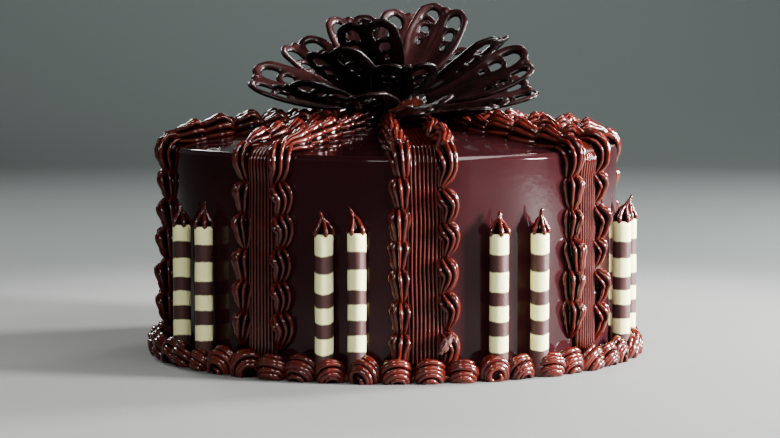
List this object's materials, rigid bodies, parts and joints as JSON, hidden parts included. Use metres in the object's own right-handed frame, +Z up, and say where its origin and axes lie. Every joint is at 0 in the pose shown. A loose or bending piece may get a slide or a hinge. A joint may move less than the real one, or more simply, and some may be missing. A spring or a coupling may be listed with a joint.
{
  "type": "chocolate ganache cake",
  "caption": "Round glazed chocolate cake with piped basket-weave ribbons and shell borders, striped chocolate sticks round its side and a lattice chocolate flower on top.",
  "frame": {"origin": "centre of the cake's underside, on the surface it stands on", "axes": "+Z up through the cake's middle, -Y towards the side seen from the front, +X to the right of that view"},
  "size_m": [0.247, 0.247, 0.1736],
  "materials": {
    "ganache": "glossy poured ganache glaze",
    "piped_ganache": "glossy piped ganache",
    "soft_ganache": "wet glossy ganache",
    "striped_chocolate": "satin white chocolate with milk chocolate stripes",
    "dark_chocolate": "satin dark chocolate"
  },
  "bodies": {
    "root": {"cake": "ganache", "base_border": "piped_ganache", "flower_core": "soft_ganache", "ribbon_1": "piped_ganache", "ribbon_2": "piped_ganache", "ribbon_3": "piped_ganache", "ribbon_4": "piped_ganache", "ribbon_5": "piped_ganache", "ribbon_6": "piped_ganache", "ribbon_7": "piped_ganache", "ribbon_8": "piped_ganache", "stick_01": "striped_chocolate", "stick_02": "striped_chocolate", "stick_03": "striped_chocolate", "stick_04": "striped_chocolate", "stick_05": "striped_chocolate", "stick_06": "striped_chocolate", "stick_07": "striped_chocolate", "stick_08": "striped_chocolate", "stick_09": "striped_chocolate", "stick_10": "striped_chocolate", "stick_11": "striped_chocolate", "stick_12": "striped_chocolate", "stick_13": "striped_chocolate", "stick_14": "striped_chocolate", "stick_15": "striped_chocolate", "stick_16": "striped_chocolate", "petal_01": "dark_chocolate", "petal_02": "dark_chocolate", "petal_03": "dark_chocolate", "petal_04": "dark_chocolate", "petal_05": "dark_chocolate", "petal_06": "dark_chocolate", "petal_07": "dark_chocolate", "petal_08": "dark_chocolate", "petal_09": "dark_chocolate", "petal_10": "dark_chocolate", "petal_11": "dark_chocolate", "petal_12": "dark_chocolate", "petal_13": "dark_chocolate", "petal_14": "dark_chocolate", "petal_15": "dark_chocolate", "petal_16": "dark_chocolate", "petal_17": "dark_chocolate", "petal_18": "dark_chocolate", "petal_19": "dark_chocolate", "petal_20": "dark_chocolate"}
  },
  "joints": []
}
